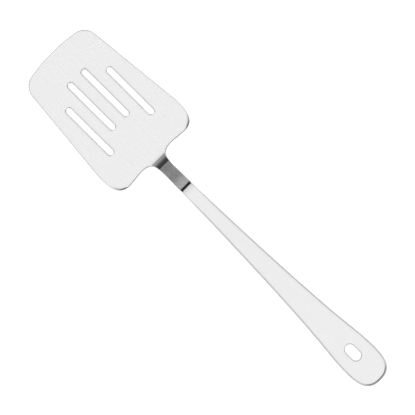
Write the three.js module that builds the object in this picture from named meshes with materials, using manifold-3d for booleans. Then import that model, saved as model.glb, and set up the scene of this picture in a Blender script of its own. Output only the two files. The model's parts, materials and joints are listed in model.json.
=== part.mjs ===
// Slotted turner: a slotted steel blade whose tang is held in a hollow two-shell handle.
// Millimetres. The tool is modelled with the blade flat: x = 0 at the bend line between blade and neck,
// the blade towards -x, the handle towards +x, z = 0 on the blade's underside. It is then laid down
// as it lies on a table, on its heel and the end of its handle, with +Z up.

import * as THREE from 'three';
import { mergeVertices } from 'three/addons/utils/BufferGeometryUtils.js';
import Module from 'manifold-3d';

const wasm = await Module();
wasm.setup();

// Sheet, walls and fits
const sheet = 1.5;
const wall = 0.8;
const fitGap = 0.3;
const tangSideGap = 0.5;

// Blade, seen from above
const bladeLength = 108.9;
const frontWidth = 63;
const frontCrown = 3.4;
const frontCornerReach = 9;
const rearWidth = 84.9;
const rearSetback = 1.75;
const rearLean = 4.2;
const shoulderAlongSide = 28;
const shoulderAlongRear = 17;
const leadLength = 6;
const leadEdge = 0.8;

// Slots in the blade
const slotCount = 4;
const slotPitch = 14.1;
const slotWidth = 4.7;
const slotLength = 47.6;
const innerSlotFront = 24.6;
const outerSlotSetback = 12.1;

// Neck between the blade and the handle
const neckReach = 29.9;
const neckWaist = 9.6;
const neckEndWidth = 10.1;
const neckFillet = 15.5;
const neckAngle = THREE.MathUtils.degToRad(49);
const heelRadius = 13;
const crestRadius = 0.6;
const crestLead = 0.15;
const tangLength = 46;

// Seal at the mouth of the handle
const sealLength = 1;
const sealInset = 0.1;
const sealCorner = 1;

// Handle
const handleLength = 199;
const handlePitch = THREE.MathUtils.degToRad(2);
const mouthRake = THREE.MathUtils.degToRad(25);
const mouthWidth = 9.6;
const lipLength = 5;
const lipRise = 0.3;
const gripWidth = 28.3;
const endRound = 20.3;
const flankSlope = 0.028;
const gripHalfThickness = 3;
const thickestFromEnd = 80;
const endHalfThickness = 2.6;
const edgeRadius = 1.7;
const holeWidth = 7.9;
const holeLength = 14.2;
const holeFromEnd = 28.45;

// Fullness of the drawn corners: the share of the way to the corner that the curve's handles reach
const frontFullness = 0.6;
const shoulderFullness = 0.72;
const neckFullness = 0.8;
const endFullness = 0.72;
const flankStartFullness = 0.92;
const flankEndFullness = 0.154;

// A round edge takes at most this share of the half thickness that it is cut into
const mostRound = 0.9;

// Facets
const cornerSegments = 12;
const flankSegments = 20;
const bevelSegments = 5;
const cutMargin = 2;

// Derived sizes
const mouthHalfThickness = sheet / 2 + fitGap + wall;
const tangWidth = mouthWidth - 2 * (wall + tangSideGap);
const sealStart = fitGap;
const mouthStart = sealStart + sealLength + fitGap;
const handleEnd = mouthStart + handleLength;

// Side view of the neck, along the middle of the sheet: up the slope, over the crest and into the handle
const heelMiddle = heelRadius - sheet / 2;
const crestMiddle = crestRadius + sheet / 2;
const slopeStart = heelMiddle * Math.sin(neckAngle);
const slopeEnd = neckReach - crestLead;
const slopeRise = sheet / 2
  + heelMiddle * (1 - Math.cos(neckAngle))
  + (slopeEnd - slopeStart) * Math.tan(neckAngle);
const crestX = slopeEnd + crestMiddle * Math.sin(neckAngle);
const crestZ = slopeRise - crestMiddle * Math.cos(neckAngle);

// Height at which the handle's axis passes over the end of the neck
const neckRise = crestZ
  + crestMiddle / Math.cos(handlePitch)
  - (crestX - neckReach) * Math.tan(handlePitch);

const steel = new THREE.MeshStandardMaterial({
  color: 0xd6d7d8, metalness: 1, roughness: 0.24, flatShading: true,
});
const handleSteel = new THREE.MeshStandardMaterial({
  color: 0xd9dadb, metalness: 1, roughness: 0.2, flatShading: true,
});
const blackRubber = new THREE.MeshStandardMaterial({
  color: 0x101010, metalness: 0, roughness: 0.6, flatShading: true,
});

// Closed three.js geometry to a solid that can be joined and cut
function toSolid(geometry) {
  geometry.deleteAttribute('normal');
  geometry.deleteAttribute('uv');
  const merged = mergeVertices(geometry);
  return new wasm.Manifold(new wasm.Mesh({
    numProp: 3,
    vertProperties: merged.attributes.position.array,
    triVerts: new Uint32Array(merged.index.array),
  }));
}

// Solid back to a named mesh
function toMesh(name, solid, material) {
  const { vertProperties, triVerts } = solid.getMesh();
  const geometry = new THREE.BufferGeometry();
  geometry.setAttribute('position', new THREE.BufferAttribute(vertProperties, 3));
  geometry.setIndex(new THREE.BufferAttribute(triVerts, 1));
  geometry.computeVertexNormals();
  const mesh = new THREE.Mesh(geometry, material.clone());
  mesh.name = name;
  return mesh;
}

// Curve from the path's current point to exit that rounds off the corner between them
function roundTo(path, corner, exit, fullness) {
  const first = path.currentPoint.clone().lerp(corner, fullness);
  const second = exit.clone().lerp(corner, fullness);
  path.bezierCurveTo(first.x, first.y, second.x, second.y, exit.x, exit.y);
}

// Whole outline from its half on the +y side, which starts and ends on the x axis
function mirrored(halfPath, segments) {
  const points = halfPath.getPoints(segments);
  const other = points.slice(1, -1).reverse().map((point) => new THREE.Vector2(point.x, -point.y));
  return new THREE.Shape([...points, ...other]);
}

// Closed outline of a hole with round ends, long along x
function slotPath(centreX, centreY, length, width) {
  const radius = width / 2;
  const reach = length / 2 - radius;
  const path = new THREE.Path();
  path.absarc(centreX + reach, centreY, radius, -Math.PI / 2, Math.PI / 2, false);
  path.absarc(centreX - reach, centreY, radius, Math.PI / 2, Math.PI * 1.5, false);
  path.closePath();
  return path;
}

// Blade, neck and tang seen from above
function bladePlan() {
  const frontX = -bladeLength;
  const rearX = -rearSetback;
  const frontCorner = new THREE.Vector2(frontX + frontCrown, frontWidth / 2);
  const shoulder = new THREE.Vector2(rearX + rearLean, rearWidth / 2);
  const neckCorner = new THREE.Vector2(rearX, neckWaist / 2);
  const side = shoulder.clone().sub(frontCorner).normalize();
  const rear = neckCorner.clone().sub(shoulder).normalize();
  const frontEndY = frontWidth / 2 - frontCornerReach;
  const crownAtEnd = frontCrown / (1 + 2 * frontCornerReach / frontEndY);
  const frontEnd = new THREE.Vector2(frontX + crownAtEnd, frontEndY);

  const half = new THREE.Path();
  half.moveTo(frontX, 0);
  half.quadraticCurveTo(frontX, frontEnd.y / 2, frontEnd.x, frontEnd.y);
  roundTo(half, frontCorner, frontCorner.clone().addScaledVector(side, frontCornerReach), frontFullness);
  const shoulderStart = shoulder.clone().addScaledVector(side, -shoulderAlongSide);
  half.lineTo(shoulderStart.x, shoulderStart.y);
  roundTo(half, shoulder, shoulder.clone().addScaledVector(rear, shoulderAlongRear), shoulderFullness);
  const filletStart = neckCorner.clone().addScaledVector(rear, -neckFillet);
  half.lineTo(filletStart.x, filletStart.y);
  roundTo(half, neckCorner, new THREE.Vector2(rearX + neckFillet, neckWaist / 2), neckFullness);
  half.lineTo(neckReach, neckEndWidth / 2);
  const tangEnd = neckReach + tangLength * Math.cos(handlePitch);
  half.lineTo(tangEnd, neckEndWidth / 2);
  half.lineTo(tangEnd, 0);

  const plan = mirrored(half, cornerSegments);
  const innerCentre = frontX + innerSlotFront + slotLength / 2;
  for (let index = 0; index < slotCount; index += 1) {
    const isOuter = index === 0 || index === slotCount - 1;
    const centreX = innerCentre + (isOuter ? outerSlotSetback : 0);
    const centreY = (index - (slotCount - 1) / 2) * slotPitch;
    plan.holes.push(slotPath(centreX, centreY, slotLength, slotWidth));
  }
  return plan;
}

// Blade, neck and tang seen from the side: one sheet with two bends and a thinned front edge
function bladeSide() {
  const heelStart = -Math.PI / 2;
  const heelEnd = heelStart + neckAngle;
  const crestStart = Math.PI / 2 + neckAngle;
  const crestEnd = Math.PI / 2 + handlePitch;
  const along = new THREE.Vector2(Math.cos(handlePitch), Math.sin(handlePitch));
  const up = new THREE.Vector2(-along.y, along.x);
  const tangTip = new THREE.Vector2(neckReach, neckRise).addScaledVector(along, tangLength + cutMargin);
  const tipBelow = tangTip.clone().addScaledVector(up, -sheet / 2);
  const tipAbove = tangTip.clone().addScaledVector(up, sheet / 2);

  const side = new THREE.Shape();
  side.moveTo(-bladeLength, Math.max(sheet - leadEdge, 0));
  side.lineTo(-bladeLength + leadLength, 0);
  side.absarc(0, heelRadius, heelRadius, heelStart, heelEnd, false);
  side.absarc(crestX, crestZ, crestRadius, crestStart, crestEnd, true);
  side.lineTo(tipBelow.x, tipBelow.y);
  side.lineTo(tipAbove.x, tipAbove.y);
  side.absarc(crestX, crestZ, crestRadius + sheet, crestEnd, crestStart, false);
  side.absarc(0, heelRadius, heelRadius - sheet, heelEnd, heelStart, true);
  side.lineTo(-bladeLength, sheet);
  side.closePath();
  return side;
}

// Leans a geometry in the handle's frame as the mouth leans: its top towards the blade
function raked(geometry) {
  return geometry.applyMatrix4(new THREE.Matrix4().makeShear(0, 0, 0, 0, -Math.tan(mouthRake), 0));
}

// What is cut from one side of the sheet behind the neck, to leave the tang and a shoulder along the mouth
function shoulderCut(side) {
  const length = tangLength + cutMargin;
  const width = neckEndWidth / 2;
  const height = 2 * (sheet + cutMargin);
  const cut = raked(new THREE.BoxGeometry(length, width, height).translate(length / 2, 0, 0));
  cut.translate(0, side * (tangWidth + width) / 2, 0);
  cut.rotateY(-handlePitch);
  cut.translate(neckReach, 0, neckRise);
  return toSolid(cut);
}

// The sheet's side view drawn out across the blade, trimmed to the outline seen from above
function makeBlade() {
  const span = rearWidth + 2 * cutMargin;
  const height = neckRise + tangLength * Math.sin(handlePitch) + sheet + 2 * cutMargin;
  const bent = new THREE.ExtrudeGeometry(bladeSide(), {
    depth: span, bevelEnabled: false, curveSegments: cornerSegments,
  });
  bent.rotateX(Math.PI / 2);
  bent.translate(0, span / 2, 0);
  const trim = new THREE.ExtrudeGeometry(bladePlan(), {
    depth: height, bevelEnabled: false, curveSegments: cornerSegments,
  });
  trim.translate(0, 0, -cutMargin);
  const narrowed = [1, -1].reduce(
    (sheetSolid, side) => sheetSolid.subtract(shoulderCut(side)),
    toSolid(bent).intersect(toSolid(trim)),
  );
  return toMesh('blade', narrowed, steel);
}

// Handle seen from above, from ahead of its mouth to its round end, with the hanging hole
function handlePlan() {
  const ahead = mouthStart - edgeRadius - mouthHalfThickness * Math.tan(mouthRake) - cutMargin;
  const mouth = new THREE.Vector2(mouthStart, mouthWidth / 2);
  const grip = new THREE.Vector2(handleEnd - endRound, gripWidth / 2);
  const startReach = flankStartFullness * (grip.x - mouth.x);
  const endReach = flankEndFullness * (grip.x - mouth.x);
  const half = new THREE.Path();
  half.moveTo(ahead, 0);
  half.lineTo(ahead, mouth.y);
  half.lineTo(mouth.x, mouth.y);
  const flank = new THREE.CubicBezierCurve(
    mouth,
    new THREE.Vector2(mouth.x + startReach, mouth.y + startReach * flankSlope),
    new THREE.Vector2(grip.x - endReach, grip.y),
    grip,
  );
  for (const point of flank.getSpacedPoints(flankSegments).slice(1)) {
    half.lineTo(point.x, point.y);
  }
  roundTo(half, new THREE.Vector2(handleEnd, grip.y), new THREE.Vector2(handleEnd, 0), endFullness);

  const plan = mirrored(half, cornerSegments);
  plan.holes.push(slotPath(handleEnd - holeFromEnd, 0, holeLength, holeWidth));
  return plan;
}

// Half the handle's outer thickness at a place along it
function halfThickness(x) {
  const thickestAt = handleEnd - thickestFromEnd;
  const swell = THREE.MathUtils.smoothstep(x, mouthStart, thickestAt);
  const fade = THREE.MathUtils.smoothstep(x, thickestAt, handleEnd);
  const toLip = THREE.MathUtils.clamp(1 - (x - mouthStart) / lipLength, 0, 1);
  const behindLip = mouthHalfThickness + lipRise;
  return behindLip
    - lipRise * toLip ** 2
    + (gripHalfThickness - behindLip) * swell
    + (endHalfThickness - gripHalfThickness) * fade;
}

// The handle's plan as a round-edged solid that lies inset from the outer skin on all sides
function handleBody(inset, radius) {
  const full = gripHalfThickness - inset;
  const rise = Math.min(radius, mostRound * full);
  const straight = full - rise;
  const body = new THREE.ExtrudeGeometry(handlePlan(), {
    depth: 2 * straight,
    bevelThickness: rise,
    bevelSize: radius,
    bevelOffset: -(inset + radius),
    bevelSegments,
    curveSegments: cornerSegments,
  });
  body.translate(0, 0, -straight);
  const position = body.attributes.position;
  for (let index = 0; index < position.count; index += 1) {
    const taper = (halfThickness(position.getX(index)) - inset) / full;
    position.setZ(index, position.getZ(index) * taper);
  }
  return toSolid(body);
}

// Two pressed shells that meet at the handle's middle plane, cut off open along the raked mouth
function makeShells() {
  const innerRadius = Math.max(edgeRadius - wall, wall / 2);
  const hollow = handleBody(0, edgeRadius).subtract(handleBody(wall, innerRadius));

  const span = gripWidth + 2 * cutMargin;
  const height = gripHalfThickness + cutMargin;
  const reach = handleLength + height * Math.tan(mouthRake) + cutMargin;
  const shell = (name, direction) => {
    const half = new THREE.BoxGeometry(reach, span, height);
    half.translate(mouthStart + reach / 2, 0, direction * (height + fitGap) / 2);
    return toMesh(name, hollow.intersect(toSolid(raked(half))), handleSteel);
  };
  return [shell('handle_top_shell', 1), shell('handle_bottom_shell', -1)];
}

// Rectangle with round corners, centred on the origin
function roundedRectangle(width, height, radius) {
  const x = width / 2 - radius;
  const y = height / 2 - radius;
  const shape = new THREE.Shape();
  shape.absarc(x, -y, radius, -Math.PI / 2, 0, false);
  shape.absarc(x, y, radius, 0, Math.PI / 2, false);
  shape.absarc(-x, y, radius, Math.PI / 2, Math.PI, false);
  shape.absarc(-x, -y, radius, Math.PI, Math.PI * 1.5, false);
  shape.closePath();
  return shape;
}

// Flat ring on the tang, raked as the mouth is, between the neck's shoulders and the handle
function makeSeal() {
  const section = roundedRectangle(
    mouthWidth - 2 * sealInset,
    2 * (mouthHalfThickness - sealInset),
    sealCorner,
  );
  const slotY = tangWidth / 2 + fitGap;
  const slotZ = sheet / 2 + fitGap;
  const slot = new THREE.Path();
  slot.moveTo(-slotY, -slotZ);
  slot.lineTo(-slotY, slotZ);
  slot.lineTo(slotY, slotZ);
  slot.lineTo(slotY, -slotZ);
  slot.closePath();
  section.holes.push(slot);
  const ring = new THREE.ExtrudeGeometry(section, {
    depth: sealLength, bevelEnabled: false, curveSegments: cornerSegments / 2,
  });
  ring.rotateZ(Math.PI / 2);
  ring.rotateY(Math.PI / 2);
  ring.translate(sealStart, 0, 0);
  return toMesh('mouth_seal', toSolid(raked(ring)), blackRubber);
}

// Tilt, nose up, at which the heel and the end of the handle touch one plane from above
function restTilt() {
  const footRadius = edgeRadius * endHalfThickness / gripHalfThickness;
  const foot = new THREE.Vector2(handleEnd - edgeRadius, footRadius - endHalfThickness)
    .rotateAround(new THREE.Vector2(), handlePitch)
    .add(new THREE.Vector2(neckReach, neckRise));
  const heelToFoot = foot.sub(new THREE.Vector2(0, heelRadius));
  return heelToFoot.angle() + Math.asin((heelRadius - footRadius) / heelToFoot.length());
}

const handle = new THREE.Group();
handle.add(makeSeal(), ...makeShells());
handle.position.set(neckReach, 0, neckRise);
handle.rotation.y = -handlePitch;

const tool = new THREE.Group();
tool.add(makeBlade(), handle);
tool.rotation.y = restTilt();

// Lay the tool on z = 0 with the middle of its length over the origin
const bounds = new THREE.Box3().setFromObject(tool, true);
tool.position.set(-(bounds.min.x + bounds.max.x) / 2, 0, -bounds.min.z);

const turner = new THREE.Group();
turner.add(tool);

export default turner;
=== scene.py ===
"""Looks of a slotted steel turner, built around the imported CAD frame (Blender 4.5).

The pieces are drawn in millimetres in the tool's own frame, as in the CAD source: x = 0 at the bend line
between blade and neck, the blade towards -x, the handle towards +x, z = 0 on the blade's underside. The mount
under the blade says how the tool lies on the table.
"""

import json
import math
from dataclasses import dataclass
from typing import Callable

import bmesh
import bpy
import numpy as np
from mathutils import Matrix, Vector
from mathutils.geometry import delaunay_2d_cdt, interpolate_bezier


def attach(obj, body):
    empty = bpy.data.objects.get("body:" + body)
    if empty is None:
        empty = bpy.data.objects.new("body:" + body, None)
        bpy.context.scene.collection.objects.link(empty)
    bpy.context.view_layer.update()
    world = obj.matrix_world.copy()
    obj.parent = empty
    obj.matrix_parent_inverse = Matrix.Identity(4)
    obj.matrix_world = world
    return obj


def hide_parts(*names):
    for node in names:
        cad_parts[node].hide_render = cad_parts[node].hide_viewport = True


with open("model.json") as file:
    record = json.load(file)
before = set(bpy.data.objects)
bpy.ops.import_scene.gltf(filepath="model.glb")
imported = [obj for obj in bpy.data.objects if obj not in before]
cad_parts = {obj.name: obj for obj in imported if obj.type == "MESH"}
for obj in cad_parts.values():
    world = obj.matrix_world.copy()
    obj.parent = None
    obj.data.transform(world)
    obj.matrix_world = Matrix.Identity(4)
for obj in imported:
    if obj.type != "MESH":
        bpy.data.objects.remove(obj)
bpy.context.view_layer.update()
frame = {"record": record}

MM = 0.001

# Sheet, walls and fits
SHEET = 1.5
WALL = 0.8
FIT_GAP = 0.3
TANG_SIDE_GAP = 0.5
SEAM = 0.12

# Blade, seen from above
BLADE_LENGTH = 108.9
FRONT_WIDTH = 63
FRONT_CROWN = 3.4
FRONT_CORNER_REACH = 9
REAR_WIDTH = 84.9
REAR_SETBACK = 1.75
REAR_LEAN = 4.2
SHOULDER_ALONG_SIDE = 28
SHOULDER_ALONG_REAR = 17
LEAD_LENGTH = 6
LEAD_EDGE = 0.8

# Round edges of the sheet: depth, and inset by the way the edge faces, from the front (-1) to the rear (1)
EDGE_DEPTH = 0.7
EDGE_FACING = (-1, -0.6, 0.2, 0.55, 0.85, 0.965, 0.993)
EDGE_INSETS = (0.35, 0.9, 1, 2.8, 3.2, 2.6, 0.8)
WIDEST_EDGE = max(EDGE_INSETS)
REAR_EDGE = EDGE_INSETS[-1]
NECK_EDGE = 0.35
NECK_EDGE_START = 3
NECK_EDGE_END = 10
TANG_EDGE = 0.25

# Slots in the blade
SLOT_COUNT = 4
SLOT_PITCH = 14.1
SLOT_WIDTH = 4.7
SLOT_LENGTH = 47.6
INNER_SLOT_FRONT = 24.6
OUTER_SLOT_SETBACK = 12.1
SLOT_SIDE_EDGE = 1.4
SLOT_END_EDGE = 0.15

# Neck between the blade and the handle
NECK_REACH = 29.9
NECK_WAIST = 9.6
NECK_END_WIDTH = 10.1
NECK_FILLET = 15.5
NECK_ANGLE = math.radians(49)
HEEL_RADIUS = 13
CREST_RADIUS = 0.6
CREST_LEAD = 0.15
TANG_LENGTH = 46
SHOULDER_ROUND = 0.6

# Seal at the mouth of the handle
SEAL_LENGTH = 1
SEAL_SWELL = 0.25
SEAL_INSET = 0.1
SEAL_CORNER = 1
SEAL_EDGE = 0.2

# Handle
HANDLE_LENGTH = 199
HANDLE_PITCH = math.radians(2)
MOUTH_RAKE = math.radians(25)
RAKE_LENGTH = 15
MOUTH_WIDTH = 9.6
MOUTH_CORNER = 1.2
MOUTH_EDGE = 0.6
MOUTH_BLEND = 30
LIP_LENGTH = 5
LIP_RISE = 0.3
GRIP_WIDTH = 28.3
END_ROUND = 20.3
FLANK_SLOPE = 0.028
GRIP_HALF_THICKNESS = 3
THICKEST_FROM_END = 80
END_HALF_THICKNESS = 2.6
EDGE_RADIUS = 1.7
INNER_EDGE = 0.2
END_EDGE_INSET = 2
HOLE_WIDTH = 7.9
HOLE_LENGTH = 14.2
HOLE_FROM_END = 28.45
HOLE_EDGE = 0.8
HOLE_END_EDGE = 0.3

# Fullness of the drawn corners: the share of the way to the corner that the curve's handles reach
FRONT_FULLNESS = 0.6
SHOULDER_FULLNESS = 0.72
NECK_FULLNESS = 0.8
END_FULLNESS = 0.72
FLANK_START_FULLNESS = 0.92
FLANK_END_FULLNESS = 0.154
ARC_FULLNESS = 0.5523
PARABOLA_FULLNESS = 2 / 3
MOST_ROUND = 0.9

# Fineness of the meshes: steps along the outlines, round the edges and over the faces
OUTLINE_STEP = 0.8
CORNER_STEPS = 8
SLOT_END_STEPS = 28
EDGE_STEPS = 7
BEND_STEP = 0.4
PLACE_STEP = 0.1
FACE_STEP = 4
HANDLE_FACE_STEP = 2
NECK_FACE_STEP = 1.2
NECK_FACE_START = -2
FACE_MARGIN = 0.6
INSIDE_ONLY = 1
MERGE_GAP = 1e-6
WELD_GAP = 1e-5
SHARP_ANGLE = math.radians(50)
UV_SPAN = 100

# Place of the tool on the table, from the mount on the blade's underside
MOUNT_X = -13

# Derived sizes
MOUTH_HALF_THICKNESS = SHEET / 2 + FIT_GAP + WALL
TANG_WIDTH = MOUTH_WIDTH - 2 * (WALL + TANG_SIDE_GAP)
MOUTH_START = 2 * FIT_GAP + SEAL_LENGTH
HANDLE_END = MOUTH_START + HANDLE_LENGTH
HEEL_MIDDLE = HEEL_RADIUS - SHEET / 2
CREST_MIDDLE = CREST_RADIUS + SHEET / 2
HEEL_REACH = HEEL_MIDDLE * math.sin(NECK_ANGLE)
CREST_REACH = CREST_MIDDLE * (math.sin(NECK_ANGLE) - math.sin(HANDLE_PITCH))
CREST_BEHIND = (CREST_REACH - CREST_LEAD) / math.cos(HANDLE_PITCH)
SLOPE_LENGTH = (NECK_REACH - CREST_LEAD - HEEL_REACH) / math.cos(NECK_ANGLE)
RAKE = math.tan(MOUTH_RAKE)
SHOULDER_SINE = math.sin(NECK_ANGLE) - CREST_LEAD / CREST_MIDDLE - RAKE * math.cos(HANDLE_PITCH)
SHOULDER_ANGLE = MOUTH_RAKE + math.asin(SHOULDER_SINE * math.cos(MOUTH_RAKE))

# Bends of the sheet behind the blade: length along the sheet and angle turned
BENDS = (
    (HEEL_MIDDLE * NECK_ANGLE, NECK_ANGLE),
    (SLOPE_LENGTH, 0),
    (CREST_MIDDLE * (NECK_ANGLE - HANDLE_PITCH), HANDLE_PITCH - NECK_ANGLE),
    (TANG_LENGTH - CREST_BEHIND, 0),
)
SHEET_END = sum(length for length, turn in BENDS)
CREST_END = SHEET_END - BENDS[-1][0]
NECK_END = CREST_END - CREST_MIDDLE * (SHOULDER_ANGLE - HANDLE_PITCH)


# Outlines

def straight(start, end):
    """Points from start to just before end."""
    count = max(1, round((end - start).length / OUTLINE_STEP))
    return [start.lerp(end, index / count) for index in range(count)]


def rounded(start, corner, end, fullness):
    """Points of a curve that rounds off a corner, from start to just before end."""
    length = (corner - start).length + (end - corner).length
    count = max(CORNER_STEPS, round(length / OUTLINE_STEP))
    first = start.lerp(corner, fullness)
    second = end.lerp(corner, fullness)
    return interpolate_bezier(start, first, second, end, count + 1)[:-1]


def corner_between(before, corner, after, reach):
    """Points of a round corner of that reach, and the points where it starts and ends."""
    start = corner + (before - corner).normalized() * reach
    end = corner + (after - corner).normalized() * reach
    return start, rounded(start, corner, end, ARC_FULLNESS), end


def mirrored(half):
    """Closed loop, counter-clockwise, from its +y half that runs from -x to +x along the axis."""
    upper = np.array(half)
    lower = upper[1:-1] * (1, -1)
    return np.concatenate((lower, upper[::-1]))


def stadium(centre_x, centre_y, length, width):
    """Closed clockwise loop of a hole with round ends, long along x."""
    radius = width / 2
    reach = length / 2 - radius
    loop = []
    for side in (1, -1):
        centre = Vector((centre_x + side * reach, centre_y))
        for index in range(SLOT_END_STEPS):
            angle = side * math.pi / 2 - math.pi * index / SLOT_END_STEPS
            loop.append(centre + radius * Vector((math.cos(angle), math.sin(angle))))
        arc_end = centre + Vector((0, -side * radius))
        loop.extend(straight(arc_end, arc_end - Vector((2 * side * reach, 0))))
    return np.array(loop)


def sheet_place(distance):
    """Place and slope of the middle of the sheet at a distance behind the bend line, seen from the side."""
    x, z, slope = min(distance, 0), SHEET / 2, 0
    left = max(distance, 0)
    for length, turn in BENDS:
        run = min(left, length)
        angle = turn * run / length
        if turn:
            radius = length / turn
            x += radius * (math.sin(slope + angle) - math.sin(slope))
            z += radius * (math.cos(slope) - math.cos(slope + angle))
        else:
            x += run * math.cos(slope)
            z += run * math.sin(slope)
        slope += angle
        left -= run
    return x, z, slope


def along_sheet(loop):
    """Outline seen from above to the same outline on the sheet before it is bent."""
    distances = np.concatenate(([-BLADE_LENGTH], np.arange(0, SHEET_END + BEND_STEP, PLACE_STEP)))
    places = [sheet_place(distance)[0] for distance in distances]
    return np.column_stack((np.interp(loop[:, 0], places, distances), loop[:, 1]))


def blade_outline():
    """Blade, neck and tang seen from above."""
    front = -BLADE_LENGTH
    rear = -REAR_SETBACK
    front_y = FRONT_WIDTH / 2 - FRONT_CORNER_REACH
    crown_share = 1 + 2 * FRONT_CORNER_REACH / front_y
    front_start = Vector((front, 0))
    front_control = Vector((front, front_y / 2))
    front_end = Vector((front + FRONT_CROWN / crown_share, front_y))
    front_corner = Vector((front + FRONT_CROWN, FRONT_WIDTH / 2))
    shoulder = Vector((rear + REAR_LEAN, REAR_WIDTH / 2))
    neck_corner = Vector((rear, NECK_WAIST / 2))
    side = (shoulder - front_corner).normalized()
    back = (neck_corner - shoulder).normalized()
    side_start = front_corner + side * FRONT_CORNER_REACH
    side_end = shoulder - side * SHOULDER_ALONG_SIDE
    back_start = shoulder + back * SHOULDER_ALONG_REAR
    back_end = neck_corner - back * NECK_FILLET
    neck_start = Vector((rear + NECK_FILLET, NECK_WAIST / 2))
    neck_end = Vector((sheet_place(NECK_END)[0], NECK_END_WIDTH / 2))
    tang_start = Vector((neck_end.x, TANG_WIDTH / 2))
    tang_end = Vector((sheet_place(SHEET_END)[0], TANG_WIDTH / 2))
    tip = Vector((tang_end.x, 0))

    half = rounded(front_start, front_control, front_end, PARABOLA_FULLNESS)
    half += rounded(front_end, front_corner, side_start, FRONT_FULLNESS)
    half += straight(side_start, side_end)
    half += rounded(side_end, shoulder, back_start, SHOULDER_FULLNESS)
    half += straight(back_start, back_end)
    half += rounded(back_end, neck_corner, neck_start, NECK_FULLNESS)
    here = neck_start
    corners = (neck_end, tang_start, tang_end)
    for corner, after in zip(corners, (tang_start, tang_end, tip)):
        start, bend, end = corner_between(here, corner, after, SHOULDER_ROUND)
        half += straight(here, start) + bend
        here = end
    half += straight(here, tip) + [tip]
    return mirrored(half)


def blade_loops():
    """Outline and slots of the sheet before it is bent."""
    inner_centre = -BLADE_LENGTH + INNER_SLOT_FRONT + SLOT_LENGTH / 2
    loops = [along_sheet(blade_outline())]
    for index in range(SLOT_COUNT):
        is_outer = index in (0, SLOT_COUNT - 1)
        centre_x = inner_centre + (OUTER_SLOT_SETBACK if is_outer else 0)
        centre_y = (index - (SLOT_COUNT - 1) / 2) * SLOT_PITCH
        loops.append(stadium(centre_x, centre_y, SLOT_LENGTH, SLOT_WIDTH))
    return loops


def handle_loops():
    """Outline and hanging hole of the handle, from its mouth to its round end."""
    mouth = Vector((MOUTH_START, MOUTH_WIDTH / 2))
    grip = Vector((HANDLE_END - END_ROUND, GRIP_WIDTH / 2))
    end = Vector((HANDLE_END, 0))
    length = grip.x - mouth.x
    first = mouth + FLANK_START_FULLNESS * length * Vector((1, FLANK_SLOPE))
    second = grip - FLANK_END_FULLNESS * length * Vector((1, 0))
    half_mouth = Vector((MOUTH_START, 0))
    start, bend, flank_start = corner_between(half_mouth, mouth, first, MOUTH_CORNER)
    half = straight(half_mouth, start) + bend
    half += interpolate_bezier(flank_start, first, second, grip, round(length / OUTLINE_STEP))[:-1]
    half += rounded(grip, Vector((HANDLE_END, grip.y)), end, END_FULLNESS) + [end]
    return [mirrored(half), stadium(HANDLE_END - HOLE_FROM_END, 0, HOLE_LENGTH, HOLE_WIDTH)]


def rectangle(width, height, corner, clockwise):
    """Closed loop of a rectangle with round corners."""
    points = []
    for quarter, (side_x, side_y) in enumerate(((1, 1), (-1, 1), (-1, -1), (1, -1))):
        centre = Vector((side_x * (width / 2 - corner), side_y * (height / 2 - corner)))
        for index in range(CORNER_STEPS + 1):
            angle = math.pi / 2 * (quarter + index / CORNER_STEPS)
            points.append(centre + corner * Vector((math.cos(angle), math.sin(angle))))
    return np.array(points[::-1] if clockwise else points)


# Meshes

@dataclass
class Skin:
    """One side of a plate, from its rim to its face."""

    edge: Callable  # edge(spot, facing, is_hole): inset and depth under the face of each ring there
    face: Callable  # face(u): height of the face
    rim: Callable  # rim(u): height of the rim
    side: int  # 1 where the rings lie below the face, -1 where they lie above it


def round_edge(radius, depth, start=0):
    """Inset and depth of the rings of a round edge, from the side to the face."""
    rings = []
    for index in range(EDGE_STEPS + 1):
        angle = math.pi / 2 * index / EDGE_STEPS
        rings.append((start + radius * (1 - math.cos(angle)), depth * (1 - math.sin(angle))))
    return rings


def inward(loop):
    """Unit normals of a closed loop that point to its left, into the material."""
    along = np.roll(loop, -1, axis=0) - np.roll(loop, 1, axis=0)
    along /= np.linalg.norm(along, axis=1, keepdims=True)
    return np.column_stack((-along[:, 1], along[:, 0]))


def is_inside(points, loop):
    """Which points lie inside a closed loop."""
    ends = np.roll(loop, -1, axis=0)
    x, y = points[:, :1], points[:, 1:]
    crosses = (loop[:, 1] > y) != (ends[:, 1] > y)
    rise = np.where(ends[:, 1] == loop[:, 1], 1, ends[:, 1] - loop[:, 1])
    at = loop[:, 0] + (y - loop[:, 1]) * (ends[:, 0] - loop[:, 0]) / rise
    return np.count_nonzero(crosses & (x < at), axis=1) % 2 == 1


def grid(loops, across, along, margin):
    """Grid points on the face that the loops bound, at least a margin away from each loop."""
    points = np.array([(u, v) for u in along for v in across])
    keep = is_inside(points, loops[0])
    for hole in loops[1:]:
        keep &= ~is_inside(points, hole)
    for loop in loops:
        gaps = np.linalg.norm(points[:, None] - loop[None], axis=2)
        keep &= gaps.min(axis=1) > margin
    return points[keep]


def fill_face(rings, fill):
    """Triangles of a face between the rings that bound it, through the fill points."""
    points = np.concatenate([*rings, fill])
    ring_of = np.concatenate([np.full(len(ring), index) for index, ring in enumerate([*rings, fill])])
    edges = []
    start = 0
    for ring in rings:
        edges += [(start + index, start + (index + 1) % len(ring)) for index in range(len(ring))]
        start += len(ring)
    made = delaunay_2d_cdt([Vector(point) for point in points], edges, [], INSIDE_ONLY, MERGE_GAP)
    faces, origins = made[2:4]
    triangles = [[origins[corner][0] for corner in face] for face in faces]
    # A triangle with all three corners on the ring of one hole would close that hole
    return [t for t in triangles if len({ring_of[c] for c in t}) > 1 or ring_of[t[0]] in (0, len(rings))]


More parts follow.
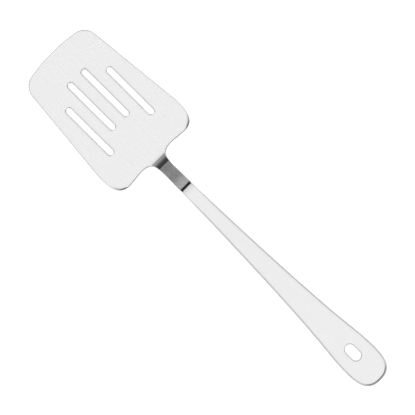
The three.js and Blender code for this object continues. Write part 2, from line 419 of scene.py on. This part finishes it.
class Plate:
    """A plate in the making: corners on the flat sheet, each with a height and a wear, and polygons."""

    def __init__(self):
        self.flat = []
        self.heights = []
        self.wear = []
        self.polygons = []

    def add_corners(self, spots, heights, wear):
        """New corners, all with the same wear, and their numbers."""
        start = len(self.flat)
        self.flat += list(spots)
        self.heights += heights
        self.wear += [wear] * len(heights)
        return range(start, len(self.flat))

    def add_band(self, lower, upper, order):
        """Quads between two rings of corners, turned over where the order is -1."""
        for index in range(len(lower)):
            after = (index + 1) % len(lower)
            quad = (lower[index], lower[after], upper[after], upper[index])
            self.polygons.append(quad[::order])

    def add_edge(self, skin, loop, is_hole, order):
        """Edge of a skin along a loop, and its first ring, at the rim, and last ring, at the face."""
        normals = inward(loop)
        edges = [skin.edge(spot, -normal[0], is_hole) for spot, normal in zip(loop, normals)]
        insets, depths = np.transpose(edges)
        rim = self.add_corners(loop + insets[0][:, None] * normals, [skin.rim(u) for u, v in loop], 1)
        lower = rim
        for step in range(EDGE_STEPS + 1):
            spots = loop + insets[step][:, None] * normals
            heights = [skin.face(u) - skin.side * depth for (u, v), depth in zip(spots, depths[step])]
            upper = self.add_corners(spots, heights, 1 - step / EDGE_STEPS)
            self.add_band(lower, upper, order)
            lower = upper
        return rim, lower

    def add_skin(self, skin, loops, fill, order):
        """Edges and face of a skin, and the rings at its rim."""
        rims, rings = [], []
        for number, loop in enumerate(loops):
            rim, ring = self.add_edge(skin, loop, number > 0, order)
            rims.append(rim)
            rings.append(ring)
        bounds = [np.array([self.flat[corner] for corner in ring]) for ring in rings]
        rings.append(self.add_corners(fill, [skin.face(u) for u, v in fill], 0))
        corners = [corner for ring in rings for corner in ring]
        for triangle in fill_face(bounds, fill):
            self.polygons.append([corners[index] for index in triangle][::order])
        return rims

    def to_mesh(self, name, place):
        """Mesh with its wear and its flat coordinates."""
        mesh = bpy.data.meshes.new(name)
        corners = [place(*spot, height) for spot, height in zip(self.flat, self.heights)]
        mesh.from_pydata(corners, [], self.polygons)
        mesh.attributes.new("wear", "FLOAT", "POINT").data.foreach_set("value", self.wear)
        flat = np.array([self.flat[loop.vertex_index] for loop in mesh.loops]) / UV_SPAN
        mesh.uv_layers.new(name="flat").data.foreach_set("uv", flat.ravel())
        weld(mesh)
        return mesh


def plate_mesh(name, loops, fill, skins, place):
    """Closed mesh between two skins of one outline. place(u, v, height) puts a point in the tool's frame."""
    plate = Plate()
    rims = [plate.add_skin(skin, loops, fill, order) for skin, order in zip(skins, (1, -1))]
    for upper, lower in zip(*rims):
        plate.add_band(lower, upper, 1)
    return plate.to_mesh(name, place)


def weld(mesh):
    """Joins corners that share a place, such as the rims of two skins that meet."""
    made = bmesh.new()
    made.from_mesh(mesh)
    bmesh.ops.remove_doubles(made, verts=made.verts, dist=WELD_GAP)
    made.to_mesh(mesh)
    made.free()


def blade_mesh():
    """The bent sheet with its slots, round edges and thinned front edge."""
    def below(u):
        thinned = max(0, 1 - (u + BLADE_LENGTH) / LEAD_LENGTH)
        return SHEET / 2 - (SHEET - LEAD_EDGE) * thinned

    def edge(spot, facing, is_hole):
        u, v = spot
        if is_hole:
            return round_edge(SLOT_SIDE_EDGE + (SLOT_END_EDGE - SLOT_SIDE_EDGE) * abs(facing), EDGE_DEPTH)
        to_neck = smoothstep(u, NECK_EDGE_START, NECK_EDGE_END)
        to_tang = smoothstep(u, NECK_END - 2 * SHOULDER_ROUND, NECK_END - SHOULDER_ROUND)
        inset = float(np.interp(facing, EDGE_FACING, EDGE_INSETS))
        if abs(v) < NECK_WAIST / 2 + NECK_FILLET:
            inset = min(inset, REAR_EDGE)
        inset += (NECK_EDGE - inset) * to_neck
        inset += (TANG_EDGE - inset) * to_tang
        depth = EDGE_DEPTH + (TANG_EDGE - EDGE_DEPTH) * to_tang
        return round_edge(inset, min(depth, MOST_ROUND * (SHEET / 2 + below(u)) / 2))

    def rim(u):
        return (SHEET / 2 - below(u)) / 2

    def place(u, v, height):
        x, z, slope = sheet_place(u)
        return x - height * math.sin(slope), v, z + height * math.cos(slope)

    loops = blade_loops()
    half = REAR_WIDTH / 2
    wide = np.arange(-half, half, FACE_STEP)
    flat_area = grid(loops, wide, np.arange(-BLADE_LENGTH, -FACE_STEP, FACE_STEP), WIDEST_EDGE + FACE_MARGIN)
    lead_line = grid(loops, wide, [LEAD_LENGTH - BLADE_LENGTH], WIDEST_EDGE + FACE_MARGIN)
    narrow = np.linspace(-half, half, round(2 * half / NECK_FACE_STEP))
    neck_length = np.arange(NECK_FACE_START, CREST_END, BEND_STEP)
    neck_area = grid(loops, narrow, neck_length, NECK_EDGE + FACE_MARGIN)
    fill = np.concatenate((flat_area, lead_line, neck_area))
    upper = Skin(edge, lambda u: SHEET / 2, rim, 1)
    lower = Skin(edge, lambda u: -below(u), rim, -1)
    return plate_mesh("blade_sheet", loops, fill, (upper, lower), place)


def in_handle(x, y, z):
    """Point of the handle's own frame, whose origin is over the neck's shoulders, in the tool's frame."""
    tang_x, tang_z, slope = sheet_place(CREST_END)
    behind = x - (tang_x - NECK_REACH) / math.cos(slope)
    return (
        tang_x + behind * math.cos(slope) - z * math.sin(slope),
        y,
        tang_z + behind * math.sin(slope) + z * math.cos(slope),
    )


def smoothstep(value, start, end):
    """Smooth share from 0 at the start to 1 at the end."""
    share = min(max((value - start) / (end - start), 0), 1)
    return share * share * (3 - 2 * share)


def half_thickness(x):
    """Half the handle's outer thickness at a place along it."""
    thickest = HANDLE_END - THICKEST_FROM_END
    swell = smoothstep(x, MOUTH_START, thickest)
    fade = smoothstep(x, thickest, HANDLE_END)
    to_lip = max(0, 1 - (x - MOUTH_START) / LIP_LENGTH)
    behind_lip = MOUTH_HALF_THICKNESS + LIP_RISE
    return (
        behind_lip
        - LIP_RISE * to_lip * to_lip
        + (GRIP_HALF_THICKNESS - behind_lip) * swell
        + (END_HALF_THICKNESS - GRIP_HALF_THICKNESS) * fade
    )


def shell_mesh(name, side):
    """Upper (side 1) or lower (side -1) shell of the hollow handle, with a wall all round."""
    def radius_at(u):
        share = smoothstep(u, MOUTH_START, MOUTH_START + MOUTH_BLEND)
        return MOUTH_EDGE + (EDGE_RADIUS - MOUTH_EDGE) * share

    def outer_edge(spot, facing, is_hole):
        u = spot[0]
        if is_hole:
            return round_edge(HOLE_EDGE + (HOLE_END_EDGE - HOLE_EDGE) * abs(facing), HOLE_EDGE)
        to_end = smoothstep(u, HANDLE_END - END_ROUND, HANDLE_END)
        radius = radius_at(u)
        inset = radius + (END_EDGE_INSET - EDGE_RADIUS) * to_end
        return round_edge(inset, min(radius, MOST_ROUND * half_thickness(u)))

    def inner_edge(spot, facing, is_hole):
        u = spot[0]
        radius = max(radius_at(u) - WALL, INNER_EDGE)
        return round_edge(radius, min(radius, MOST_ROUND * (half_thickness(u) - WALL)), WALL)

    def place(u, v, height):
        lean = RAKE * (1 - smoothstep(u, MOUTH_START, MOUTH_START + RAKE_LENGTH))
        return in_handle(u - lean * side * height, side * v, side * height)

    loops = handle_loops()
    half = GRIP_WIDTH / 2
    across = np.arange(-half, half, HANDLE_FACE_STEP)
    along = np.arange(MOUTH_START, HANDLE_END, HANDLE_FACE_STEP)
    fill = grid(loops, across, along, END_EDGE_INSET + FACE_MARGIN)
    outer = Skin(outer_edge, half_thickness, lambda u: SEAM / 2, 1)
    inner = Skin(inner_edge, lambda u: half_thickness(u) - WALL, lambda u: SEAM / 2, 1)
    return plate_mesh(name, loops, fill, (outer, inner), place)


def seal_mesh():
    """Flat ring on the tang, between the neck's shoulders and the handle's mouth, whose black also stands for
    painted shade in the gap there.
    """
    def edge(spot, facing, is_hole):
        return round_edge(SEAL_EDGE, SEAL_EDGE)

    def place(u, v, height):
        return in_handle(MOUTH_START / 2 + height - RAKE * v, u, v)

    outer = rectangle(
        MOUTH_WIDTH - 2 * SEAL_INSET, 2 * (MOUTH_HALF_THICKNESS - SEAL_INSET), SEAL_CORNER, False
    )
    slot = rectangle(TANG_WIDTH + 2 * FIT_GAP, SHEET + 2 * FIT_GAP, SEAL_EDGE, True)
    half = SEAL_LENGTH / 2 + SEAL_SWELL
    upper = Skin(edge, lambda u: half, lambda u: 0, 1)
    lower = Skin(edge, lambda u: -half, lambda u: 0, -1)
    return plate_mesh("mouth_ring", [outer, slot], np.empty((0, 2)), (upper, lower), place)


def tool_matrix():
    """From the tool's frame in millimetres to the row frame in metres."""
    mount = next(m for m in frame["record"]["mounts"] if m["name"] == "blade_underside")
    up = -Vector(mount["axis"]).normalized()
    along = Vector((up.z, 0, -up.x))
    turn = Matrix((along, (0, 1, 0), up)).transposed().to_4x4()
    origin = Vector(mount["pos_m"]) - along * MOUNT_X * MM
    return Matrix.Translation(origin) @ turn @ Matrix.Scale(MM, 4)


def cut_mouth(piece):
    """Opens the mouth of a shell for the tang."""
    cutter_mesh = bpy.data.meshes.new("mouth_cutter")
    made = bmesh.new()
    bmesh.ops.create_cube(made, size=1)
    depth = 2 * EDGE_RADIUS + 2 * WALL
    size = (depth, TANG_WIDTH + 2 * TANG_SIDE_GAP, SHEET + 2 * FIT_GAP)
    for vertex in made.verts:
        x, y, z = (length * share for length, share in zip(size, vertex.co))
        vertex.co = in_handle(MOUTH_START + x - RAKE * z, y, z)
    made.to_mesh(cutter_mesh)
    made.free()
    cutter_mesh.transform(TOOL)
    cutter = bpy.data.objects.new("mouth_cutter", cutter_mesh)
    bpy.context.scene.collection.objects.link(cutter)
    cut = piece.modifiers.new("mouth", "BOOLEAN")
    cut.operation = "DIFFERENCE"
    cut.solver = "EXACT"
    cut.object = cutter
    evaluated = piece.evaluated_get(bpy.context.evaluated_depsgraph_get())
    opened = bpy.data.meshes.new_from_object(evaluated)
    piece.modifiers.clear()
    piece.data = opened
    bpy.data.objects.remove(cutter)


# Pieces

TOOL = tool_matrix()
TOOL_UP = (TOOL.to_3x3() @ Vector((0, 0, 1))).normalized()
TOOL_ALONG = (TOOL.to_3x3() @ Vector((1, 0, 0))).normalized()
TOOL_ACROSS = Vector((0, 1, 0))


def piece_from(mesh):
    """Object of a mesh drawn in the tool's frame."""
    mesh.transform(TOOL)
    piece = bpy.data.objects.new(mesh.name, mesh)
    bpy.context.scene.collection.objects.link(piece)
    return piece


def finish_piece(piece, node, material):
    """Shading, material, and the CAD node that the piece stands for."""
    piece.data.shade_smooth()
    piece.data.set_sharp_from_angle(angle=SHARP_ANGLE)
    normals = piece.modifiers.new("normals", "WEIGHTED_NORMAL")
    normals.keep_sharp = True
    piece.data.materials.clear()
    piece.data.materials.append(material)
    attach(piece, "root")
    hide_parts(node)


# Materials

@dataclass
class Brushing:
    """Noise drawn out along the flat sheet."""

    scale: tuple  # cells of the noise along, across and through the sheet, per UV_SPAN
    turn: float  # angle to the tool's axis
    detail: float
    span: tuple  # values of the noise that count as none and as full


@dataclass
class SteelFinish:
    """How one of the steel materials is finished."""

    grain: Brushing
    roughness: float
    polished_end: float  # place along the piece where the polish starts to fade
    satin_start: float  # place along the piece where it is fully satin


NONE_TO_FULL = (0, 1)
FULL_TO_NONE = (1, 0)

# Steel: tones, and the share of the lighter one that handling marks, grain and worn edges bring
STEEL_DARK = (0.77, 0.77, 0.77, 1)
STEEL_LIGHT = (0.815, 0.815, 0.815, 1)
MARK_TONE = 0.5
GRAIN_TONE = 0.15
EDGE_TONE = 0.2

# Steel: brushed grain, scratches, handling marks and worn edges
NOISE_ROUGHNESS = 0.6
GRAIN_DETAIL = 3
GRAIN_SPAN = (0.3, 0.7)
BLADE_FINISH = SteelFinish(Brushing((6, 620, 1), 0, GRAIN_DETAIL, GRAIN_SPAN), 0.17, 1.5, -1.5)
HANDLE_FINISH = SteelFinish(Brushing((5, 480, 1), 0, GRAIN_DETAIL, GRAIN_SPAN), 0.15, 1, 6)
SCRATCHES = (
    Brushing((2.5, 110, 1), 0.1, 1, (0.7, 0.78)),
    Brushing((3, 90, 1), -0.16, 1, (0.71, 0.79)),
)
MARKS = Brushing((5, 9, 1), 0.4, 4, (0.3, 0.7))
MARK_ROUGH_SPAN = (0.35, 0.7)
WORN_SPAN = (0.1, 0.9)
SATIN_WEAR_SPAN = (0, 0.35)

# Steel: what each of them does to the surface
SATIN_METALLIC = 0.78
SATIN_ROUGHNESS = 0.08
GRAIN_ROUGHNESS = (-0.02, 0.03)
MARK_ROUGHNESS = 0.03
SCRATCH_ROUGHNESS = 0.08
EDGE_ROUGHNESS = -0.02
SCRATCH_RELIEF = -0.6
STEEL_BUMP = 0.05
STEEL_BUMP_DEPTH = 0.00004
ANISOTROPY = 0.6
ANISOTROPY_TURN = 0.25

# Rubber: near-black, its black partly painted shade of the gap at the handle's mouth
SEAL_BLACK_AND_JOINT_SHADE = (0.006, 0.006, 0.006, 1)
RUBBER_DUSTY = (0.02, 0.02, 0.02, 1)
RUBBER_GRAIN_SCALE = 6000
RUBBER_GRAIN_DETAIL = 3
DUST_SCALE = 900
DUST_DETAIL = 4
DUST_TONE_SPAN = (0.45, 0.75)
DUST_ROUGH_SPAN = (0.3, 0.7)
RUBBER_ROUGHNESS = (0.55, 0.75)
RUBBER_BUMP = 0.2
RUBBER_BUMP_DEPTH = 0.00005
RUBBER_SPECULAR = 0.3


def new_material(name):
    """Material with its node tree and shader."""
    material = bpy.data.materials.new(name)
    material.use_nodes = True
    tree = material.node_tree
    return material, tree, tree.nodes["Principled BSDF"]


def add(tree, kind, links=(), **values):
    """New node with its properties set, and sockets linked or set from (socket, source or value) pairs."""
    node = tree.nodes.new(kind)
    for name, value in values.items():
        setattr(node, name, value)
    for socket, source in links:
        if isinstance(source, bpy.types.NodeSocket):
            tree.links.new(source, node.inputs[socket])
        else:
            node.inputs[socket].default_value = source
    return node


def brushed(tree, flat, brushing):
    """Noise of a brushing on the flat sheet."""
    mapped = add(tree, "ShaderNodeMapping", (
        ("Vector", flat), ("Rotation", (0, 0, brushing.turn)), ("Scale", brushing.scale),
    ))
    noise = add(tree, "ShaderNodeTexNoise", (
        ("Vector", mapped.outputs["Vector"]), ("Scale", 1), ("Detail", brushing.detail),
        ("Roughness", NOISE_ROUGHNESS),
    ))
    return noise.outputs["Fac"]


def ranged(tree, source, span, to):
    """Source mapped from one span of values to another and held there."""
    node = add(tree, "ShaderNodeMapRange", (
        ("Value", source), ("From Min", span[0]), ("From Max", span[1]), ("To Min", to[0]), ("To Max", to[1]),
    ))
    return node.outputs["Result"]


def blended(tree, share, first, second):
    """First colour where the share is 0, second where it is 1."""
    mix = add(tree, "ShaderNodeMix", (("Factor", share), ("A", first), ("B", second)), data_type="RGBA")
    return mix.outputs["Result"]


def math_node(tree, operation, first, second=0):
    """Result of a sum, product or other operation on one or two values."""
    return add(tree, "ShaderNodeMath", ((0, first), (1, second)), operation=operation).outputs[0]


def summed(tree, *sources):
    """Sum of several values."""
    total = sources[0]
    for source in sources[1:]:
        total = math_node(tree, "ADD", total, source)
    return total


def steel(name, finish):
    """Stainless steel, brushed along the tool, with faint scratches, handling marks and bright worn edges."""
    material, tree, shader = new_material(name)
    flat = add(tree, "ShaderNodeUVMap", uv_map="flat").outputs["UV"]
    wear = add(tree, "ShaderNodeAttribute", attribute_name="wear").outputs["Fac"]
    along = add(tree, "ShaderNodeSeparateXYZ", ((0, flat),)).outputs["X"]
    grain = brushed(tree, flat, finish.grain)
    marks = brushed(tree, flat, MARKS)
    scratches = summed(tree, *(
        ranged(tree, brushed(tree, flat, scratch), scratch.span, NONE_TO_FULL) for scratch in SCRATCHES
    ))
    edge = ranged(tree, wear, WORN_SPAN, NONE_TO_FULL)
    fade = (finish.polished_end / UV_SPAN, finish.satin_start / UV_SPAN)
    satin = math_node(
        tree,
        "MULTIPLY",
        ranged(tree, along, fade, NONE_TO_FULL),
        ranged(tree, wear, SATIN_WEAR_SPAN, FULL_TO_NONE),
    )

    shade = summed(
        tree,
        ranged(tree, marks, MARKS.span, (0, MARK_TONE)),
        ranged(tree, grain, finish.grain.span, (0, GRAIN_TONE)),
        ranged(tree, edge, NONE_TO_FULL, (0, EDGE_TONE)),
    )
    grain_roughness = [finish.roughness + change for change in GRAIN_ROUGHNESS]
    rough = summed(
        tree,
        ranged(tree, grain, finish.grain.span, grain_roughness),
        ranged(tree, marks, MARK_ROUGH_SPAN, (0, MARK_ROUGHNESS)),
        ranged(tree, scratches, NONE_TO_FULL, (0, SCRATCH_ROUGHNESS)),
        ranged(tree, edge, NONE_TO_FULL, (0, EDGE_ROUGHNESS)),
        ranged(tree, satin, NONE_TO_FULL, (0, SATIN_ROUGHNESS)),
    )
    relief = summed(tree, grain, ranged(tree, scratches, NONE_TO_FULL, (0, SCRATCH_RELIEF)))
    bump = add(tree, "ShaderNodeBump", (
        ("Height", relief), ("Strength", STEEL_BUMP), ("Distance", STEEL_BUMP_DEPTH),
    ))
    tangent = add(tree, "ShaderNodeTangent", direction_type="UV_MAP", uv_map="flat")
    for socket, source in (
        ("Base Color", blended(tree, shade, STEEL_DARK, STEEL_LIGHT)),
        ("Metallic", ranged(tree, satin, NONE_TO_FULL, (1, SATIN_METALLIC))),
        ("Roughness", rough),
        ("Normal", bump.outputs["Normal"]),
        ("Tangent", tangent.outputs["Tangent"]),
    ):
        tree.links.new(source, shader.inputs[socket])
    shader.inputs["Anisotropic"].default_value = ANISOTROPY
    shader.inputs["Anisotropic Rotation"].default_value = ANISOTROPY_TURN
    return material


def rubber(name):
    """Matt black rubber with a fine moulded grain and a trace of dust; its black also stands in as painted
    shade in the gap at the handle's mouth.
    """
    material, tree, shader = new_material(name)
    place = add(tree, "ShaderNodeTexCoord").outputs["Object"]
    grain = add(tree, "ShaderNodeTexNoise", (
        ("Vector", place), ("Scale", RUBBER_GRAIN_SCALE), ("Detail", RUBBER_GRAIN_DETAIL),
    )).outputs["Fac"]
    dust = add(tree, "ShaderNodeTexNoise", (
        ("Vector", place), ("Scale", DUST_SCALE), ("Detail", DUST_DETAIL),
    )).outputs["Fac"]
    dusty = ranged(tree, dust, DUST_TONE_SPAN, NONE_TO_FULL)
    bump = add(tree, "ShaderNodeBump", (
        ("Height", grain), ("Strength", RUBBER_BUMP), ("Distance", RUBBER_BUMP_DEPTH),
    ))
    for socket, source in (
        ("Base Color", blended(tree, dusty, SEAL_BLACK_AND_JOINT_SHADE, RUBBER_DUSTY)),
        ("Roughness", ranged(tree, dust, DUST_ROUGH_SPAN, RUBBER_ROUGHNESS)),
        ("Normal", bump.outputs["Normal"]),
    ):
        tree.links.new(source, shader.inputs[socket])
    shader.inputs["Specular IOR Level"].default_value = RUBBER_SPECULAR
    return material


# Floor: pale paper, with painted shade where the steel mirrors it: darker in reflections only, so that rims
# stay clear against it

FLOOR_HALF = 1.5
FLOOR_WHITE = (0.9, 0.9, 0.9, 1)
# Painted shade: tone of the paper as the steel mirrors it
FLOOR_SHADE_IN_REFLECTIONS = (0.35, 0.35, 0.35, 1)
FLOOR_ROUGHNESS = 0.9
FLOOR_SPECULAR = 0.1


def make_floor():
    """Square of paper under the tool."""
    mesh = bpy.data.meshes.new("floor")
    corners = [(FLOOR_HALF * x, FLOOR_HALF * y, 0) for x, y in ((-1, -1), (1, -1), (1, 1), (-1, 1))]
    mesh.from_pydata(corners, [], [(0, 1, 2, 3)])
    floor = bpy.data.objects.new("floor", mesh)
    bpy.context.scene.collection.objects.link(floor)
    paper, tree, shader = new_material("paper")
    # Painted shade: the paper turns darker for glossy rays only
    mirrored_ray = add(tree, "ShaderNodeLightPath").outputs["Is Glossy Ray"]
    tree.links.new(blended(tree, mirrored_ray, FLOOR_WHITE, FLOOR_SHADE_IN_REFLECTIONS), shader.inputs["Base Color"])
    shader.inputs["Roughness"].default_value = FLOOR_ROUGHNESS
    shader.inputs["Specular IOR Level"].default_value = FLOOR_SPECULAR
    mesh.materials.append(paper)


# Studio light: radiance by angle in degrees from the blade's normal, towards the sides, front and rear

SIDE_LIGHT = ((0, 1), (22, 1), (34, 0.84), (50, 0.82), (180, 0.82))
FRONT_LIGHT = (
    (0, 1), (11, 1), (15.5, 0.5), (20, 0.28), (26, 0.36), (32, 0.4), (39, 0.21), (48, 0.11), (57, 0.055),
    (77, 0.04), (84, 0.13), (89, 0.38), (91, 0.35), (93, 0.28), (95.5, 0.16), (97, 0.3), (98, 0.85),
    (180, 0.85),
)
REAR_LIGHT = ((0, 1), (12, 1), (17, 0.55), (22, 0.2), (34, 0.15), (48, 0.3), (90, 0.5), (180, 0.5))
HALF_TURN = 180

# Cosine of the heading at which the front and rear light set in and at which they are full
FRONT_HEADING = (-0.5, -0.9)
REAR_HEADING = (0.4, 0.75)

# Least part of a direction that is level with the blade, so that its heading can be worked out
LEAST_LEVEL = 0.001

WHITE = (1, 1, 1, 1)
SUN_STRENGTH = 3.2
SUN_SPREAD = math.radians(8)


def along_axis(tree, direction, axis):
    """Part of a direction along an axis."""
    product = add(tree, "ShaderNodeVectorMath", ((0, direction), (1, axis)), operation="DOT_PRODUCT")
    return product.outputs["Value"]


def light_ramp(tree, angle, stops):
    """Radiance by angle, through the stops in degrees."""
    ramp = add(tree, "ShaderNodeValToRGB", (("Fac", angle),))
    elements = ramp.color_ramp.elements
    while len(elements) < len(stops):
        elements.new(1)
    for element, (degrees, value) in zip(elements, stops):
        element.position = degrees / HALF_TURN
        element.color = (value, value, value, 1)
    return ramp.outputs["Color"]


def make_surroundings():
    """Studio that the steel mirrors, plain white to the camera."""
    world = bpy.data.worlds.new("studio")
    bpy.context.scene.world = world
    world.use_nodes = True
    sky = world.node_tree
    direction = add(sky, "ShaderNodeTexCoord").outputs["Generated"]
    upward = along_axis(sky, direction, TOOL_UP)
    angle = math_node(sky, "DIVIDE", math_node(sky, "ARCCOSINE", upward), math.pi)
    level = math_node(sky, "SQRT", math_node(sky, "SUBTRACT", 1, math_node(sky, "MULTIPLY", upward, upward)))
    level = math_node(sky, "MAXIMUM", level, LEAST_LEVEL)
    heading = math_node(sky, "DIVIDE", along_axis(sky, direction, TOOL_ALONG), level)
    light = light_ramp(sky, angle, SIDE_LIGHT)
    for span, stops in ((FRONT_HEADING, FRONT_LIGHT), (REAR_HEADING, REAR_LIGHT)):
        share = ranged(sky, heading, span, NONE_TO_FULL)
        light = blended(sky, share, light, light_ramp(sky, angle, stops))
    seen = add(sky, "ShaderNodeLightPath").outputs["Is Camera Ray"]
    sky.links.new(blended(sky, seen, light, WHITE), sky.nodes["Background"].inputs["Color"])


def make_sun():
    """Light on the paper and the satin, from square above the blade, that the steel doesn't mirror."""
    data = bpy.data.lights.new("floor_light", "SUN")
    data.energy = SUN_STRENGTH
    data.angle = SUN_SPREAD
    data.cycles.use_multiple_importance_sampling = False
    sun = bpy.data.objects.new("floor_light", data)
    sun.rotation_euler = TOOL_UP.to_track_quat("Z", "Y").to_euler()
    sun.visible_glossy = False
    bpy.context.scene.collection.objects.link(sun)


# Camera: square on to the blade, the tool's axis across the frame from its upper left to its lower right

LENS = 800
CAMERA_PLACE = Vector((52.1, 0.26, 6762))
AXIS_ANGLE = math.radians(44.8)


def make_camera():
    """Camera over the tool, far off with a long lens."""
    data = bpy.data.cameras.new("camera")
    data.lens = LENS
    camera = bpy.data.objects.new("camera", data)
    right = TOOL_ALONG * math.cos(AXIS_ANGLE) + TOOL_ACROSS * math.sin(AXIS_ANGLE)
    above = TOOL_ACROSS * math.cos(AXIS_ANGLE) - TOOL_ALONG * math.sin(AXIS_ANGLE)
    turn = Matrix((right, above, TOOL_UP)).transposed().to_4x4()
    camera.matrix_world = Matrix.Translation(TOOL @ CAMERA_PLACE) @ turn
    bpy.context.scene.collection.objects.link(camera)
    bpy.context.scene.camera = camera


# Scene

blade_steel = steel("blade_steel", BLADE_FINISH)
handle_steel = steel("handle_steel", HANDLE_FINISH)
seal_rubber = rubber("seal_rubber")

blade = piece_from(blade_mesh())
finish_piece(blade, "blade", blade_steel)

# Black ring at the mouth: a seal, its black partly painted shade of the gap
seal = piece_from(seal_mesh())
finish_piece(seal, "mouth_seal", seal_rubber)

for shell_name, node_name, shell_side in (
    ("handle_upper", "handle_top_shell", 1),
    ("handle_lower", "handle_bottom_shell", -1),
):
    shell = piece_from(shell_mesh(shell_name, shell_side))
    cut_mouth(shell)
    finish_piece(shell, node_name, handle_steel)

make_floor()
make_surroundings()
make_sun()
make_camera()
bpy.context.scene.view_settings.view_transform = "Standard"
